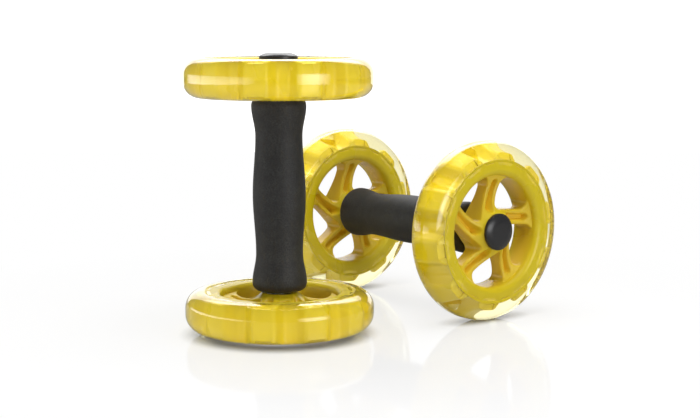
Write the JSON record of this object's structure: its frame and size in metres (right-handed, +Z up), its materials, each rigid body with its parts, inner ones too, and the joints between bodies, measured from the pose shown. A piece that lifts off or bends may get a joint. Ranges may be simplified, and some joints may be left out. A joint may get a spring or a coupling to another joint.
{
  "type": "ab wheel roller",
  "caption": "Dumbbell-style ab wheel rollers: clear urethane tyres on yellow spoked cores spin on bearings at the ends of a contoured foam grip, stood upright and on the floor.",
  "frame": {"origin": "on the floor under the upright roller's axle, at the flat middle of its lower hub cap", "axes": "+Z up along the upright roller's axle, +X along the floor roller's axle toward its near wheel, +Y from the upright roller to the floor roller"},
  "size_m": [0.2152, 0.3063, 0.2152],
  "materials": {
    "core_yellow": "moulded yellow plastic with a soft gloss",
    "clear_urethane": "clear pale yellow cast urethane, glossy",
    "cap_black": "black satin plastic",
    "grip_foam": "black closed-cell foam, fine grained and dull",
    "tube_steel": "plain drawn steel tube",
    "bright_steel": "zinc plated steel",
    "bearing_steel": "ground bearing steel",
    "plug_plastic": "black moulded plastic",
    "cage_plastic": "natural nylon"
  },
  "bodies": {
    "upright_handle": {"upright_axle_rod": "bright_steel", "upright_bottom_bearing_inner_races": "bearing_steel", "upright_bottom_bearing_spacer": "bright_steel", "upright_bottom_collar": "bright_steel", "upright_bottom_end_plug": "plug_plastic", "upright_bottom_lock_nut": "bright_steel", "upright_bottom_washer": "bright_steel", "upright_foam_grip": "grip_foam", "upright_handle_tube": "tube_steel", "upright_top_bearing_inner_races": "bearing_steel", "upright_top_bearing_spacer": "bright_steel", "upright_top_collar": "bright_steel", "upright_top_end_plug": "plug_plastic", "upright_top_lock_nut": "bright_steel", "upright_top_washer": "bright_steel"},
    "upright_top_wheel": {"upright_top_bearing_balls": "bearing_steel", "upright_top_bearing_cages": "cage_plastic", "upright_top_bearing_outer_races": "bearing_steel", "upright_top_hub_cap": "cap_black", "upright_top_tyre": "clear_urethane", "upright_top_wheel_core": "core_yellow"},
    "upright_bottom_wheel": {"upright_bottom_bearing_balls": "bearing_steel", "upright_bottom_bearing_cages": "cage_plastic", "upright_bottom_bearing_outer_races": "bearing_steel", "upright_bottom_hub_cap": "cap_black", "upright_bottom_tyre": "clear_urethane", "upright_bottom_wheel_core": "core_yellow"},
    "floor_handle": {"floor_axle_rod": "bright_steel", "floor_far_bearing_inner_races": "bearing_steel", "floor_far_bearing_spacer": "bright_steel", "floor_far_collar": "bright_steel", "floor_far_end_plug": "plug_plastic", "floor_far_lock_nut": "bright_steel", "floor_far_washer": "bright_steel", "floor_foam_grip": "grip_foam", "floor_handle_tube": "tube_steel", "floor_near_bearing_inner_races": "bearing_steel", "floor_near_bearing_spacer": "bright_steel", "floor_near_collar": "bright_steel", "floor_near_end_plug": "plug_plastic", "floor_near_lock_nut": "bright_steel", "floor_near_washer": "bright_steel"},
    "floor_near_wheel": {"floor_near_bearing_balls": "bearing_steel", "floor_near_bearing_cages": "cage_plastic", "floor_near_bearing_outer_races": "bearing_steel", "floor_near_hub_cap": "cap_black", "floor_near_tyre": "clear_urethane", "floor_near_wheel_core": "core_yellow"},
    "floor_far_wheel": {"floor_far_bearing_balls": "bearing_steel", "floor_far_bearing_cages": "cage_plastic", "floor_far_bearing_outer_races": "bearing_steel", "floor_far_hub_cap": "cap_black", "floor_far_tyre": "clear_urethane", "floor_far_wheel_core": "core_yellow"}
  },
  "joints": [
    {"name": "upright_top_spin", "type": "hinge", "parent": "upright_handle", "child": "upright_top_wheel", "pos_m": [0, 0, 0.1966], "axis": [0, 0, 1], "continuous": true},
    {"name": "upright_bottom_spin", "type": "hinge", "parent": "upright_handle", "child": "upright_bottom_wheel", "pos_m": [0, 0, 0.0186], "axis": [0, 0, 1], "continuous": true},
    {"name": "floor_roll", "type": "slide", "parent": "upright_handle", "child": "floor_handle", "axis": [0, 1, 0], "range_m": [0, 0.25]},
    {"name": "floor_near_spin", "type": "hinge", "parent": "floor_handle", "child": "floor_near_wheel", "pos_m": [0.06, 0.1613, 0.0725], "axis": [1, 0, 0], "continuous": true},
    {"name": "floor_far_spin", "type": "hinge", "parent": "floor_handle", "child": "floor_far_wheel", "pos_m": [-0.118, 0.1613, 0.0725], "axis": [1, 0, 0], "continuous": true}
  ]
}
